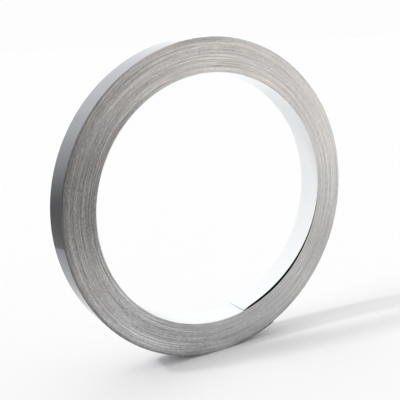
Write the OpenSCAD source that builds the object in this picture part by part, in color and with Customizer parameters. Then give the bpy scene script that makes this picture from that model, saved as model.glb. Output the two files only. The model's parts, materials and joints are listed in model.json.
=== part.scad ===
// Roll of flat aluminium strip for bending the side walls of channel letters.
// It stands on its rim with its axis along Y, and the origin is on the floor under its middle.

/* [Strip] */
// Width of the strip, which is also the width of the roll
strip_w = 40; // [20:1:200]
// Thickness of the strip with the coating on both of its faces
strip_t = 0.5; // [0.4:0.05:1.5]
// How far the corners of the slit edges are eased
edge_ease = 0.1; // [0.02:0.01:0.15]

/* [Roll] */
// Diameter of the bore that the winding drum leaves
bore_d = 350; // [150:5:600]
// Number of turns between the bore and the rim
turns = 80; // [10:1:160]
// Mean gap between two turns, as the roll is wound a little loosely
air_gap = 0.1; // [0:0.01:0.2]

/* [Hidden] */
bore_r = bore_d / 2;
turn_pitch = strip_t + air_gap;
roll_r = bore_r + turns * turn_pitch;
circle_steps = 180;

// One edge of every turn, from the bore out: an eased corner, the flat of the slit edge, an eased corner.
// Two neighbours share the bottom of the groove over the gap between them. side is -1 or 1, the end of the roll.
function end_of_turns(side) = [
    for (i = [0 : turns - 1])
        for (corner = [[0, edge_ease], [edge_ease, 0], [turn_pitch - edge_ease, 0]])
            [bore_r + i * turn_pitch + corner[0], side * (strip_w / 2 - corner[1])]
];

function reversed(points) = [for (i = [len(points) - 1 : -1 : 0]) points[i]];

// Section of the roll on one side of its axis, with both ends of it grooved between the turns
function roll_section() = concat(
    end_of_turns(-1),
    [[roll_r, edge_ease - strip_w / 2], [roll_r, strip_w / 2 - edge_ease]],
    reversed(end_of_turns(1))
);

// The wound strip as one turned solid around its bore
module strip_coil() {
    color("silver")
        translate([0, 0, roll_r])
            rotate([90, 0, 0])
                rotate_extrude($fn = circle_steps)
                    polygon(roll_section());
}

strip_coil();
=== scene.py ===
import json
import math

import bpy
from mathutils import Matrix, Vector


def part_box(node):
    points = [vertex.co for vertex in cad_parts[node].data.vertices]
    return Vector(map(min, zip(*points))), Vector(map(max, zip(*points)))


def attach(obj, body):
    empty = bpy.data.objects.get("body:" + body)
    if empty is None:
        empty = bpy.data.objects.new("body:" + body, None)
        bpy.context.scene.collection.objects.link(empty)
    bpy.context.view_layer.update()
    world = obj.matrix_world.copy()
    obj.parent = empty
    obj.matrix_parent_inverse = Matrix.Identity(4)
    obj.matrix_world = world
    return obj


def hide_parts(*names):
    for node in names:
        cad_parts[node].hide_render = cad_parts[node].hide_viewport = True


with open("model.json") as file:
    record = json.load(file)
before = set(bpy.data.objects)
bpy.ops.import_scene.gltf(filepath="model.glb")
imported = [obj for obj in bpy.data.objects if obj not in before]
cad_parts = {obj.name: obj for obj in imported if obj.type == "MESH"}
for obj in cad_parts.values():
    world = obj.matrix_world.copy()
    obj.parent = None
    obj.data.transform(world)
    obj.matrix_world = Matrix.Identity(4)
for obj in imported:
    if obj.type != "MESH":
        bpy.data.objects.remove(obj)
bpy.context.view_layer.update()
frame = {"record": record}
low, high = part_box("strip_coil")
rollCentre = (low + high) / 2
rollWidth = high.y - low.y
rimRadius = (high.z - low.z) / 2
boreMount = frame["record"]["mounts"][0]
boreRadius = boreMount["dims"]["r_mm"] / 1000
print("frame loaded: rim radius", round(rimRadius, 4), "bore radius", boreRadius)


# helpers for node trees: a value may be a number, a vector or another node's output
def plug(tree, value, socket):
    if isinstance(value, bpy.types.NodeSocket):
        tree.links.new(value, socket)
    else:
        socket.default_value = value


def addNode(tree, kind, inputs=None, **settings):
    node = tree.nodes.new(kind)
    for name, value in settings.items():
        setattr(node, name, value)
    for name, value in (inputs or {}).items():
        plug(tree, value, node.inputs[name])
    return node


def calc(tree, operation, *values):
    node = addNode(tree, "ShaderNodeMath", operation=operation)
    for value, socket in zip(values, node.inputs):
        plug(tree, value, socket)
    return node.outputs[0]


def vectorCalc(tree, operation, *values):
    node = addNode(tree, "ShaderNodeVectorMath", operation=operation)
    for value, socket in zip(values, node.inputs):
        plug(tree, value, socket)
    return node.outputs["Value" if operation == "DOT_PRODUCT" else "Vector"]


def scaled(tree, vector, factor):
    node = addNode(tree, "ShaderNodeVectorMath", {"Scale": factor}, operation="SCALE")
    plug(tree, vector, node.inputs[0])
    return node.outputs[0]


def vectorOf(tree, x, y, z):
    return addNode(tree, "ShaderNodeCombineXYZ", {"X": x, "Y": y, "Z": z}).outputs[0]


def partsOf(tree, vector):
    return addNode(tree, "ShaderNodeSeparateXYZ", {"Vector": vector}).outputs


def noiseAt(tree, place, detail=0.0):
    inputs = {"Vector": place, "Scale": 1.0, "Detail": detail}
    return addNode(tree, "ShaderNodeTexNoise", inputs).outputs["Fac"]


def remap(tree, value, fromLow, fromHigh, toLow, toHigh):
    inputs = {"Value": value, "From Min": fromLow, "From Max": fromHigh,
              "To Min": toLow, "To Max": toHigh}
    return addNode(tree, "ShaderNodeMapRange", inputs).outputs["Result"]


def newMaterial(name):
    material = bpy.data.materials.new(name)
    material.use_nodes = True
    tree = material.node_tree
    tree.nodes.clear()
    output = tree.nodes.new("ShaderNodeOutputMaterial")
    return material, tree, output


def shaderInto(tree, output, kind, inputs):
    shader = addNode(tree, kind, inputs)
    tree.links.new(shader.outputs[0], output.inputs["Surface"])


def ringCoordinates(tree):
    # the unit direction away from the roll's axis, and the place along that axis
    place = addNode(tree, "ShaderNodeTexCoord").outputs["Object"]
    fromAxis = vectorCalc(tree, "SUBTRACT", place, tuple(rollCentre))
    outward = vectorCalc(tree, "NORMALIZE", vectorCalc(tree, "MULTIPLY", fromAxis, (1.0, 0.0, 1.0)))
    return outward, partsOf(tree, fromAxis)["Y"]


def streaks(tree, turn, outward, across, turnsWide, length, seed):
    # noise drawn out along the turns: a streak is turnsWide turns wide and about length metres long
    offGrid = (0.37, 0.0, 0.41)
    sideShift = 7.3             # the two ends of the roll differ
    stretched = vectorCalc(tree, "ADD", scaled(tree, outward, boreRadius / length), offGrid)
    x, _, z = partsOf(tree, stretched)
    rings = calc(tree, "MULTIPLY_ADD", turn, 1 / turnsWide, seed)
    rings = calc(tree, "MULTIPLY_ADD", calc(tree, "SIGN", across), sideShift, rings)
    return noiseAt(tree, vectorOf(tree, rings, x, z), 1.0)


def towards(tree, outward, degrees):
    # 1 on the side of the ring at this angle, 0 on the opposite one
    turn = math.radians(degrees)
    cosine = vectorCalc(tree, "DOT_PRODUCT", outward, (math.cos(turn), 0.0, math.sin(turn)))
    return calc(tree, "MULTIPLY_ADD", cosine, 0.5, 0.5)


edgeLook = {
    "warm": (0.68, 0.65, 0.625),
    "cool": (0.652, 0.646, 0.648),
    "warmSide": 79.0,           # degrees round the ring, as every side here
    # streaks, long ones, short ones and grain: width in turns, length in metres, seed, share
    "streakLayers": ((1.8, 0.110, 8.7, 0.42), (1.5, 0.024, 17.6, 0.22), (1.5, 0.003, 11.4, 0.36)),
    "streakStrength": 3.375,
    "streakSide": 185.0,        # where the streaks are strongest, as painted light: the light shows them most on that side
    "streakLeast": 0.5,         # their strength on the opposite side
    "single": (1.5, 0.14, 31.7),    # single turns that stand out: width, length, seed
    "singleFrom": 0.08,         # swing of their noise at which they begin to show
    "singleFull": 0.20,
    "singleStrength": 0.32,     # how much darker or lighter they are
    "unevenShade": (2.0, 0.9, 5.2),  # single outer turns that take more of the painted shade: width, length, seed
    "unevenShadeRange": (0.46, 0.56),
    "unevenShadeStrength": 0.5,
    "outerShade": 0.12,              # painted shade that all the outer turns take
    "outerShadeFrom": 64.0,        # turn at which that begins
    # side of the ring where the painted shade on the outer turns is darkest
    "outerShadeSide": 205.0,
    "roughness": 0.36,
    "anisotropy": 0.55,
}


def slitEdgeMetal():
    # bare aluminium edges left by the slitting knives
    material, tree, output = newMaterial("slitEdgeMetal")
    outward, across = ringCoordinates(tree)
    turn = addNode(tree, "ShaderNodeAttribute", attribute_name="turn").outputs["Fac"]

    def drawn(width, length, seed):
        return streaks(tree, turn, outward, across, width, length, seed)

    # streaks all over the ends, and single turns that are lighter or darker than the rest
    mixed = -0.5
    for width, length, seed, share in edgeLook["streakLayers"]:
        mixed = calc(tree, "MULTIPLY_ADD", drawn(width, length, seed), share, mixed)
    # the streaks are the edges' own tone; their strength by side is painted light, following where
    # the light shows them most
    nearSide = towards(tree, outward, edgeLook["streakSide"])
    reach = remap(tree, nearSide, 0.0, 1.0, edgeLook["streakLeast"], 1.0)
    swing = calc(tree, "MULTIPLY", mixed, reach)
    tone = calc(tree, "MULTIPLY_ADD", swing, edgeLook["streakStrength"], 1.0)
    single = drawn(*edgeLook["single"])
    start, full = edgeLook["singleFrom"], edgeLook["singleFull"]
    darker = remap(tree, single, 0.5 + start, 0.5 + full, 0.0, edgeLook["singleStrength"])
    lighter = remap(tree, single, 0.5 - start, 0.5 - full, 0.0, edgeLook["singleStrength"])
    tone = calc(tree, "MULTIPLY_ADD", calc(tree, "SUBTRACT", lighter, darker), reach, tone)

    # painted shade: the outermost turns darken towards the lower left, more on some turns than on
    # others
    outermost = remap(tree, turn, edgeLook["outerShadeFrom"], winding["Turns"], 0.0, 1.0)
    outerShade = calc(tree, "MULTIPLY", outermost, towards(tree, outward, edgeLook["outerShadeSide"]))
    unevenShade = remap(tree, drawn(*edgeLook["unevenShade"]), *edgeLook["unevenShadeRange"],
                   0.0, edgeLook["unevenShadeStrength"])
    outerShade = calc(tree, "MULTIPLY", outerShade, calc(tree, "ADD", unevenShade, edgeLook["outerShade"]))
    tone = calc(tree, "MULTIPLY", tone, calc(tree, "SUBTRACT", 1.0, outerShade))

    tint = addNode(tree, "ShaderNodeMix", data_type="RGBA")
    plug(tree, towards(tree, outward, edgeLook["warmSide"]), tint.inputs["Factor"])
    tint.inputs[6].default_value = (*edgeLook["cool"], 1.0)
    tint.inputs[7].default_value = (*edgeLook["warm"], 1.0)
    shaderInto(tree, output, "ShaderNodeBsdfPrincipled", {
        "Base Color": scaled(tree, tint.outputs[2], tone),
        "Metallic": 1.0,
        "Roughness": edgeLook["roughness"],
        "Anisotropic": edgeLook["anisotropy"],
        "Tangent": outward,
    })
    return material


rimLook = {
    "colour": (0.42, 0.428, 0.458),
    "metallic": 1.0,
    "roughness": 0.10,
    "markWidth": 0.0016,        # metres
    "markLength": 0.09,
    "markTone": 0.05,
    "markRoughness": 0.05,
    "markSeed": 3.1,
    "peelSize": 0.004,
    "peelStrength": 0.04,
}

boreLook = {
    "colour": (0.875, 0.89, 0.90),
    "metallic": 0.0,
    "roughness": 0.3,
    "markWidth": 0.006,         # metres
    "markLength": 0.15,
    "markTone": 0.03,
    "markRoughness": 0.08,
    "markSeed": 9.4,
    "peelSize": 0.0015,
    "peelStrength": 0.15,
}


def rollMarks(tree, look):
    # faint marks that the mill's rolls leave along the strip, on the faces turned in or out
    outward, across = ringCoordinates(tree)
    x, _, z = partsOf(tree, scaled(tree, outward, rimRadius / look["markLength"]))
    lines = calc(tree, "MULTIPLY_ADD", across, 1 / look["markWidth"], look["markSeed"])
    return calc(tree, "SUBTRACT", noiseAt(tree, vectorOf(tree, lines, x, z), 1.0), 0.5)


def peel(tree, look):
    # the very slight waviness of a cured coat
    size = look["peelSize"]
    place = addNode(tree, "ShaderNodeTexCoord").outputs["Object"]
    fine = noiseAt(tree, vectorCalc(tree, "DIVIDE", place, (size, size, size)))
    bump = {"Height": fine, "Strength": look["peelStrength"], "Distance": size / 20}
    return addNode(tree, "ShaderNodeBump", bump).outputs[0]


def coatedFace(name, look):
    # one of the strip's two coated faces: grey and glossy outwards, white inwards
    material, tree, output = newMaterial(name)
    marks = rollMarks(tree, look)
    tone = calc(tree, "MULTIPLY_ADD", marks, look["markTone"], 1.0)
    shaderInto(tree, output, "ShaderNodeBsdfPrincipled", {
        "Base Color": scaled(tree, look["colour"], tone),
        "Metallic": look["metallic"],
        "Roughness": calc(tree, "MULTIPLY_ADD", marks, look["markRoughness"], look["roughness"]),
        "Normal": peel(tree, look),
    })
    return material


winding = {
    "Turns": 80,
    "Steps per Turn": 128,
    "Strip Thickness": 0.0005,
    "Edge Ease": 0.0001,        # on the corners of the slit edges
    "Inner End Angle": -76.4,   # degrees from +X, seen from the front
    "Overlap": 11.25,           # degrees by which the outer end passes the inner one
    "Bore Growth": 0.0005,      # the bore has eased outwards since the drum came out
    "Flat Depth": 0.0060,       # and more so on one side, where the turns lie closest
    "Flat Angle": -3.0,
    "Flat Sharpness": 4.2,      # the higher, the shorter the flatter side
    "Inner Gap": 0.0062,        # the first turn's front edge stands off by up to 0.6 of this
    "Inner Gap Span": 78.0,     # degrees
    "Outer Lift": 0.0012,       # how far the outer end has sprung up
    "Outer Lift Span": 28.0,    # degrees
    "Side Wander": 0.0004,      # how far turns slip sideways
    "Looseness": 0.0003,        # how much the gaps between turns vary
}


windingInputs = {
    "NodeSocketInt": ("Turns", "Steps per Turn"),
    "NodeSocketFloat": (
        "Bore Radius", "Rim Radius", "Roll Width", "Axis Height", "Strip Thickness", "Edge Ease",
        "Inner End Angle", "Overlap", "Bore Growth", "Flat Depth", "Flat Angle", "Flat Sharpness",
        "Inner Gap", "Inner Gap Span", "Outer Lift", "Outer Lift Span", "Side Wander", "Looseness",
    ),
    "NodeSocketMaterial": ("Edge Metal", "Rim Coat", "Bore Coat"),
}


def product(tree, *values):
    result = values[0]
    for value in values[1:]:
        result = calc(tree, "MULTIPLY", result, value)
    return result


def compared(tree, value, operation, limit):
    node = addNode(tree, "FunctionNodeCompare", {"A": value, "B": limit},
                   operation=operation, data_type="FLOAT")
    return node.outputs[0]


def boolean(tree, operation, first, second):
    node = addNode(tree, "FunctionNodeBooleanMath", operation=operation)
    plug(tree, first, node.inputs[0])
    plug(tree, second, node.inputs[1])
    return node.outputs[0]


def windingTree():
    tree = bpy.data.node_groups.new("stripWinding", "GeometryNodeTree")
    tree.interface.new_socket("Geometry", in_out="OUTPUT", socket_type="NodeSocketGeometry")
    for kind, names in windingInputs.items():
        for name in names:
            tree.interface.new_socket(name, in_out="INPUT", socket_type=kind)
    given = tree.nodes.new("NodeGroupInput").outputs

    # places along the strip: index, angle and turn number
    steps = given["Steps per Turn"]
    wholeTurns = calc(tree, "SUBTRACT", given["Turns"], 1.0)
    turnsLong = calc(tree, "ADD", wholeTurns, calc(tree, "DIVIDE", given["Overlap"], 360.0))
    stepCount = calc(tree, "ROUND", calc(tree, "MULTIPLY", turnsLong, steps))
    pointCount = calc(tree, "ADD", stepCount, 1.0)
    index = addNode(tree, "GeometryNodeInputIndex").outputs[0]
    turn = calc(tree, "DIVIDE", index, steps)
    startAngle = calc(tree, "RADIANS", given["Inner End Angle"])
    angle = calc(tree, "MULTIPLY_ADD", turn, 2 * math.pi, startAngle)
    cosine = calc(tree, "COSINE", angle)
    sine = calc(tree, "SINE", angle)

    # radius of the even winding
    wall = calc(tree, "SUBTRACT", given["Rim Radius"], given["Bore Radius"])
    thickness = given["Strip Thickness"]
    pitch = calc(tree, "DIVIDE", calc(tree, "SUBTRACT", wall, thickness), wholeTurns)
    inset = calc(tree, "MULTIPLY_ADD", thickness, 0.5, given["Bore Radius"])
    even = calc(tree, "MULTIPLY_ADD", turn, pitch, inset)

    # the bore has eased outwards, less and less towards the rim
    outwardShare = calc(tree, "DIVIDE", turn, turnsLong)
    inwardShare = calc(tree, "SUBTRACT", 1.0, outwardShare)
    fromFlat = calc(tree, "SUBTRACT", angle, calc(tree, "RADIANS", given["Flat Angle"]))
    nearFlat = calc(tree, "MULTIPLY_ADD", calc(tree, "COSINE", fromFlat), 0.5, 0.5)
    flatShare = calc(tree, "POWER", nearFlat, given["Flat Sharpness"])
    flat = calc(tree, "MULTIPLY_ADD", flatShare, given["Flat Depth"], given["Bore Growth"])
    eased = calc(tree, "MULTIPLY_ADD", flat, inwardShare, even)

    # gaps between turns vary, most of all halfway through the wall
    slackPace = 0.11            # noise cells per turn
    paced = calc(tree, "MULTIPLY", turn, slackPace)
    slackNoise = noiseAt(tree, vectorOf(tree, paced, cosine, sine))
    halfway = product(tree, outwardShare, inwardShare, 4.0)
    slack = product(tree, calc(tree, "SUBTRACT", slackNoise, 0.5), given["Looseness"], halfway)

    # the outer end stands off the turn below it
    toEnd = product(tree, calc(tree, "SUBTRACT", turnsLong, turn), 360.0)
    liftShare = calc(tree, "MINIMUM", calc(tree, "DIVIDE", toEnd, given["Outer Lift Span"]), 1.0)
    liftCurve = calc(tree, "POWER", calc(tree, "SUBTRACT", 1.0, liftShare), 2.0)
    lift = calc(tree, "MULTIPLY", liftCurve, given["Outer Lift"])
    radius = calc(tree, "ADD", calc(tree, "ADD", eased, slack), lift)

    # sideways: every turn lands a little to one side of the one below it, some in groups
    singlePace, groupPace = 1.7, 0.22
    single = noiseAt(tree, vectorOf(tree, calc(tree, "MULTIPLY", turn, singlePace), cosine, sine))
    grouped = noiseAt(tree, vectorOf(tree, calc(tree, "MULTIPLY", turn, groupPace), sine, cosine))
    drift = calc(tree, "SUBTRACT", calc(tree, "ADD", single, grouped), 1.0)
    sideways = product(tree, drift, 0.5, given["Side Wander"])

    x = calc(tree, "MULTIPLY", cosine, radius)
    z = calc(tree, "MULTIPLY_ADD", sine, radius, given["Axis Height"])
    line = addNode(tree, "GeometryNodeMeshLine", {"Count": pointCount}, mode="OFFSET").outputs[0]
    placed = addNode(tree, "GeometryNodeSetPosition",
                     {"Geometry": line, "Position": vectorOf(tree, x, sideways, z)}).outputs[0]
    numbered = addNode(tree, "GeometryNodeStoreNamedAttribute",
                       {"Geometry": placed, "Name": "turn", "Value": turn},
                       domain="POINT").outputs[0]
    path = addNode(tree, "GeometryNodeMeshToCurve", {"Mesh": numbered}).outputs[0]
    path = addNode(tree, "GeometryNodeSetCurveNormal", {"Curve": path, "Normal": (0.0, 1.0, 0.0)},
                   mode="FREE").outputs[0]

    # section of the strip, with its corners eased
    stripWidth = calc(tree, "SUBTRACT", given["Roll Width"], given["Side Wander"])
    section = addNode(tree, "GeometryNodeCurvePrimitiveQuadrilateral",
                      {"Width": stripWidth, "Height": thickness}, mode="RECTANGLE").outputs[0]
    section = addNode(tree, "GeometryNodeFilletCurve",
                      {"Curve": section, "Count": 1, "Radius": given["Edge Ease"]},
                      mode="POLY").outputs[0]
    strip = addNode(tree, "GeometryNodeCurveToMesh",
                    {"Curve": path, "Profile Curve": section, "Fill Caps": True}).outputs[0]

    # the first turn has sprung inwards at its front edge, most of all near its end
    place = addNode(tree, "GeometryNodeInputPosition").outputs[0]
    fromAxis = vectorCalc(tree, "SUBTRACT", place, vectorOf(tree, 0.0, 0.0, given["Axis Height"]))
    outward = vectorCalc(tree, "NORMALIZE", vectorCalc(tree, "MULTIPLY", fromAxis, (1.0, 0.0, 1.0)))
    stored = addNode(tree, "GeometryNodeInputNamedAttribute", {"Name": "turn"}).outputs
    turnHere = stored["Attribute"]
    gapShare = calc(tree, "DIVIDE", product(tree, turnHere, 360.0), given["Inner Gap Span"])
    gapShare = calc(tree, "MINIMUM", gapShare, 1.0)
    gapStart, gapFullness = 0.002, 0.42     # small, so that the gap opens at once and stays wide
    gapPhase = calc(tree, "MULTIPLY_ADD", gapShare, (1.0 - gapStart) * math.pi, gapStart * math.pi)
    gapBulge = calc(tree, "MAXIMUM", calc(tree, "SINE", gapPhase), 0.0)
    gapBulge = calc(tree, "POWER", gapBulge, gapFullness)
    gapFade = calc(tree, "SUBTRACT", 1.0, gapShare)
    across = calc(tree, "DIVIDE", partsOf(tree, place)["Y"], given["Roll Width"])
    frontShare = calc(tree, "SUBTRACT", 0.5, across)
    inwards = product(tree, gapBulge, gapFade, given["Inner Gap"], frontShare, -1.0)
    strip = addNode(tree, "GeometryNodeSetPosition",
                    {"Geometry": strip, "Offset": scaled(tree, outward, inwards)}).outputs[0]

    # smooth along the strip, sharp along its corners
    sharpFrom = math.radians(20)
    edgeAngle = addNode(tree, "GeometryNodeInputMeshEdgeAngle").outputs["Unsigned Angle"]
    corner = compared(tree, edgeAngle, "GREATER_THAN", sharpFrom)
    smooth = addNode(tree, "GeometryNodeSetShadeSmooth", {"Geometry": strip, "Shade Smooth": True},
                     domain="FACE").outputs[0]
    creased = addNode(tree, "GeometryNodeSetShadeSmooth",
                      {"Geometry": smooth, "Selection": corner, "Shade Smooth": False},
                      domain="EDGE").outputs[0]

    # materials by which way a face looks; the white goes on the first turn and its end only, and
    # the faces turned in on the other turns get the grey rim coat, so that the gap behind the first
    # turn shows dark as painted shade
    squareOn = 0.8              # cosine from which a face counts as turned in or out
    endLength = 0.002           # turns
    normal = addNode(tree, "GeometryNodeInputNormal").outputs[0]
    facing = vectorCalc(tree, "DOT_PRODUCT", normal, outward)
    outside = compared(tree, facing, "GREATER_THAN", squareOn)
    inside = compared(tree, facing, "LESS_THAN", -squareOn)
    # painted shade: past the first turn the faces turned in stay grey rim coat, not white
    painted = boolean(tree, "AND", inside, compared(tree, turnHere, "LESS_THAN", 1.0))
    painted = boolean(tree, "OR", painted, compared(tree, turnHere, "LESS_THAN", endLength))
    shape = addNode(tree, "GeometryNodeRealizeInstances", {"Geometry": creased}).outputs[0]
    for selection, name in ((True, "Edge Metal"), (outside, "Rim Coat"), (inside, "Rim Coat"),
                            (painted, "Bore Coat")):
        inputs = {"Geometry": shape, "Selection": selection, "Material": given[name]}
        shape = addNode(tree, "GeometryNodeSetMaterial", inputs).outputs[0]
    result = tree.nodes.new("NodeGroupOutput")
    tree.links.new(shape, result.inputs["Geometry"])
    return tree


def windStrip():
    tree = windingTree()
    maker = bpy.data.objects.new("windingMaker", bpy.data.meshes.new("windingMaker"))
    bpy.context.scene.collection.objects.link(maker)
    modifier = maker.modifiers.new("stripWinding", "NODES")
    modifier.node_group = tree
    values = {
        **winding,
        "Bore Radius": boreRadius,
        "Rim Radius": rimRadius,
        "Roll Width": rollWidth,
        "Axis Height": rollCentre.z,
        "Edge Metal": slitEdgeMetal(),
        "Rim Coat": coatedFace("rimCoat", rimLook),
        "Bore Coat": coatedFace("boreCoat", boreLook),
    }
    for item in tree.interface.items_tree:
        if item.in_out == "INPUT":
            modifier[item.identifier] = values[item.name]
    graph = bpy.context.evaluated_depsgraph_get()
    mesh = bpy.data.meshes.new_from_object(maker.evaluated_get(graph))
    bpy.data.objects.remove(maker)
    mesh.name = "woundStrip"
    piece = bpy.data.objects.new("woundStrip", mesh)
    bpy.context.scene.collection.objects.link(piece)
    mesh.calc_loop_triangles()
    print("strip wound:", len(mesh.vertices), "points,", len(mesh.loop_triangles), "triangles,",
          [material.name for material in mesh.materials])
    return piece


woundStrip = windStrip()
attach(woundStrip, "root")
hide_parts("strip_coil")


stageLook = {
    "white": 0.982,         # background, as the camera sees it
    # light from all round: most from low at the back and the right, none from the horizon itself
    "ambient": 2.03,
    "ambientLean": (0.44, 0.48, -1.42),
    "ambientFoot": 0.6,     # height, as a sine, up to which it fades in
    "floor": (0.88, 0.88, 0.88),
    "floorRadius": 14.0,
    # lamps, all from the left: strength, elevation, degrees that each turns to the back, spread
    "lamps": ((0.74, 44.5, -12.8, 5.1), (0.30, 45.7, 1.5, 9.0)),
}


def makeWorld():
    world = bpy.data.worlds.new("studio")
    bpy.context.scene.world = world
    world.use_nodes = True
    tree = world.node_tree
    tree.nodes.clear()
    path = addNode(tree, "ShaderNodeLightPath").outputs
    seen = calc(tree, "MAXIMUM", path["Is Camera Ray"], path["Is Transmission Ray"])
    direction = addNode(tree, "ShaderNodeTexCoord").outputs["Generated"]
    lean = vectorCalc(tree, "DOT_PRODUCT", direction, stageLook["ambientLean"])
    foot = remap(tree, partsOf(tree, direction)["Z"], 0.0, stageLook["ambientFoot"], 0.0, 1.0)
    ambient = calc(tree, "MULTIPLY", calc(tree, "ADD", lean, stageLook["ambient"]), foot)
    strength = remap(tree, seen, 0.0, 1.0, ambient, stageLook["white"])
    output = tree.nodes.new("ShaderNodeOutputWorld")
    shaderInto(tree, output, "ShaderNodeBackground", {"Color": (1, 1, 1, 1), "Strength": strength})


def makeFloor():
    bpy.ops.mesh.primitive_circle_add(vertices=96, radius=stageLook["floorRadius"],
                                      fill_type="NGON")
    floor = bpy.context.object
    floor.name = "floor"
    material, tree, output = newMaterial("floorPaper")
    shaderInto(tree, output, "ShaderNodeBsdfDiffuse", {"Color": (*stageLook["floor"], 1.0)})
    floor.data.materials.append(material)


studioRoom = {
    # rings of points as (radius, height), tone halfway round, how far it leans, and to which side
    "bands": (
        # floor card, dark close to the front
        (((0.04, 0.001),), 0.40, 0.80, 110),
        (((0.15, 0.001),), 0.82, 0.30, 140),
        (((0.35, 0.001),), 0.80, 0.25, 0),
        (((0.60, 0.001),), 0.58, 0.12, 305),
        # walls, dark on the left low down, and more even higher up
        (((0.60, 0.0015), (0.60, 0.05), (0.60, 0.06), (0.60, 0.17)), 0.65, 1.30, 15),
        (((0.60, 0.34),), 1.05, 1.60, 20),
        (((0.60, 0.68),), 0.95, 0.45, 20),
        (((0.60, 1.4), (0.60, 2.3)), 0.50, 0.30, 300),
    ),
    "brightest": 1.3,
    "darkest": 0.175,
    "ceiling": 1.2,
    "columns": 36,
}


def roomTone(middle, lean, side, turn):
    tone = middle + lean * math.cos(turn - math.radians(side))
    return min(max(tone, studioRoom["darkest"]), studioRoom["brightest"])


def makeRoom():
    # floor card, walls and ceiling that only reflections see
    columns = studioRoom["columns"]
    points, tones, faces = [], [], []
    for rings, middle, lean, side in studioRoom["bands"]:
        for reach, height in rings:
            for column in range(columns):
                turn = 2 * math.pi * column / columns
                points.append((reach * math.cos(turn), reach * math.sin(turn), height))
                tones.append(roomTone(middle, lean, side, turn))
    top = len(points) - columns
    for start in range(0, top, columns):
        for column in range(columns):
            here, beside = start + column, start + (column + 1) % columns
            faces.append((here, here + columns, beside + columns, beside))
    points.append((0.0, 0.0, points[top][2]))
    tones.append(studioRoom["ceiling"])
    for column in range(columns):
        faces.append((top + column, len(points) - 1, top + (column + 1) % columns))
    mesh = bpy.data.meshes.new("studioRoom")
    mesh.from_pydata(points, [], faces)
    mesh.attributes.new("tone", "FLOAT", "POINT").data.foreach_set("value", tones)

    material, tree, output = newMaterial("studioRoom")
    tone = addNode(tree, "ShaderNodeAttribute", attribute_name="tone").outputs["Fac"]
    glow = addNode(tree, "ShaderNodeEmission", {"Color": (1.0, 1.0, 1.0, 1.0), "Strength": tone})
    # clear for light that has bounced, so that the roll throws none of it onto the floor
    path = addNode(tree, "ShaderNodeLightPath").outputs
    bounced = calc(tree, "MINIMUM", path["Diffuse Depth"], 1.0)
    clear = addNode(tree, "ShaderNodeBsdfTransparent")
    mixed = addNode(tree, "ShaderNodeMixShader", {"Fac": bounced})
    tree.links.new(glow.outputs[0], mixed.inputs[1])
    tree.links.new(clear.outputs[0], mixed.inputs[2])
    tree.links.new(mixed.outputs[0], output.inputs["Surface"])
    mesh.materials.append(material)

    room = bpy.data.objects.new("studioRoom", mesh)
    bpy.context.scene.collection.objects.link(room)
    for visibility in ("camera", "diffuse", "transmission", "volume_scatter", "shadow"):
        setattr(room, "visible_" + visibility, False)


def makeLamps():
    for strength, elevation, turn, spread in stageLook["lamps"]:
        data = bpy.data.lights.new("studioLamp", "SUN")
        data.energy = strength
        data.angle = math.radians(spread)
        lamp = bpy.data.objects.new("studioLamp", data)
        lamp.visible_glossy = False
        bpy.context.scene.collection.objects.link(lamp)
        rise, aside = math.radians(elevation), math.radians(turn)
        ahead = math.cos(rise)
        travel = Vector((ahead * math.cos(aside), ahead * math.sin(aside), -math.sin(rise)))
        lamp.rotation_mode = "QUATERNION"
        lamp.rotation_quaternion = travel.to_track_quat("-Z", "Y")


cameraView = {
    "azimuth": 30.0,        # degrees to the left of the roll's axis
    "elevation": 13.91,
    "roll": -2.71,
    "distance": 4.578,      # in rim radii, as the next two
    "aimAcross": -0.0556,
    "aimUp": 0.0023,
    "lens": 65.86,          # millimetres
    "sensor": 36.0,
}


def makeCamera():
    data = bpy.data.cameras.new("camera")
    data.lens = cameraView["lens"]
    data.sensor_width = cameraView["sensor"]
    data.clip_start = 0.01
    data.clip_end = 100.0
    camera = bpy.data.objects.new("camera", data)
    bpy.context.scene.collection.objects.link(camera)
    around = math.radians(cameraView["azimuth"])
    rise = math.radians(cameraView["elevation"])
    tilt = math.radians(cameraView["roll"])
    ahead = math.cos(rise)
    look = Vector((math.sin(around) * ahead, math.cos(around) * ahead, -math.sin(rise)))
    level = Vector((math.cos(around), -math.sin(around), 0.0))
    upright = level.cross(look)
    right = level * math.cos(tilt) + upright * math.sin(tilt)
    aim = rollCentre + Vector((cameraView["aimAcross"], 0, cameraView["aimUp"])) * rimRadius
    camera.location = aim - look * cameraView["distance"] * rimRadius
    camera.rotation_mode = "QUATERNION"
    turned = Matrix((right, right.cross(look), -look)).transposed()
    camera.rotation_quaternion = turned.to_quaternion()
    bpy.context.scene.camera = camera


makeWorld()
makeFloor()
makeRoom()
makeLamps()
makeCamera()
bpy.context.scene.view_settings.view_transform = "Standard"
print("stage, light and camera set")
